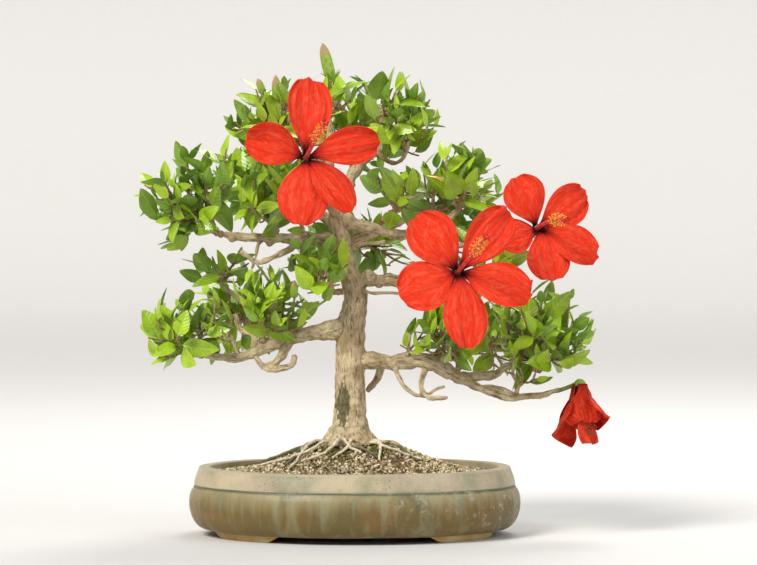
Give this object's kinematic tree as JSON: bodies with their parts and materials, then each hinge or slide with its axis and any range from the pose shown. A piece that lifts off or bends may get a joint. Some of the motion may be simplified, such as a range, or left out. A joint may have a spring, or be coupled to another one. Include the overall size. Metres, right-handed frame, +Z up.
{
  "type": "flowering hibiscus bonsai in an oval pot",
  "caption": "Hibiscus bonsai with a tapering trunk, spreading boughs, leafy twigs and large open blooms, in a shallow oval glazed pot.",
  "frame": {"origin": "on the ground under the middle of the plant's bounding box", "axes": "+Z up from the pot's feet, -Y towards the plant's front, +X to the right seen from the front"},
  "size_m": [0.4178, 0.2974, 0.443],
  "materials": {
    "glaze": "olive-beige crackled glaze, satin",
    "soil": "coarse granules of clay, grit and moss",
    "bark": "pale fissured bark",
    "leaf": "glossy green leaf",
    "petal": "thin scarlet petal"
  },
  "bodies": {
    "root": {"bloom_left_upper": "petal", "bloom_right_far": "petal", "bloom_right_middle": "petal", "bloom_wilted": "petal", "bough_back_left": "bark", "bough_back_low": "bark", "bough_back_right": "bark", "bough_front_right": "bark", "bough_front_upper": "bark", "bough_left_back": "bark", "bough_left_lower": "bark", "bough_left_riser": "bark", "bough_left_upper": "bark", "bough_left_upper_fork": "bark", "bough_right_back": "bark", "bough_right_curl": "bark", "bough_right_end": "bark", "bough_right_far": "bark", "bough_right_fork": "bark", "bough_right_lower": "bark", "bough_right_middle": "bark", "bough_right_upper": "bark", "foliage_apex": "leaf", "foliage_apex_right": "leaf", "foliage_back_left": "leaf", "foliage_back_left_low": "leaf", "foliage_back_low": "leaf", "foliage_back_right": "leaf", "foliage_back_right_low": "leaf", "foliage_back_top": "leaf", "foliage_centre": "leaf", "foliage_left_inner": "leaf", "foliage_left_low": "leaf", "foliage_left_low_end": "leaf", "foliage_left_rise": "leaf", "foliage_left_shoulder": "leaf", "foliage_left_tip": "leaf", "foliage_right_end": "leaf", "foliage_right_inner": "leaf", "foliage_right_low": "leaf", "foliage_right_middle": "leaf", "foliage_right_upper": "leaf", "leader_apex": "bark", "leader_right": "bark", "pot": "glaze", "soil": "soil", "trunk": "bark"}
  },
  "joints": []
}
